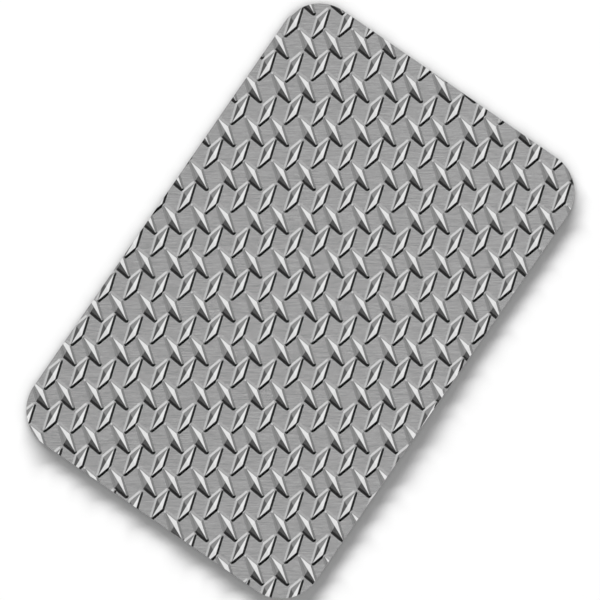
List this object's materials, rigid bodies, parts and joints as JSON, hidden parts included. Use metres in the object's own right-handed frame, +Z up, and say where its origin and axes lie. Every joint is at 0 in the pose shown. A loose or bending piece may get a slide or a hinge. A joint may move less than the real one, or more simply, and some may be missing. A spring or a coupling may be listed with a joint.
{
  "type": "checker steel plate",
  "caption": "Rectangular steel floor plate with rounded corners and a raised non-slip pattern of lozenge lugs cut on the skew.",
  "frame": {"origin": "centre of the flat underside, on the floor that the plate lies on", "axes": "+Z up out of the patterned face, +Y along the plate's long sides, +X along its short sides"},
  "size_m": [0.325, 0.5, 0.006],
  "materials": {
    "steel": "bare mill steel with a fine brushed grain along the rows of lugs"
  },
  "bodies": {
    "root": {"checker_plate": "steel"}
  },
  "joints": []
}
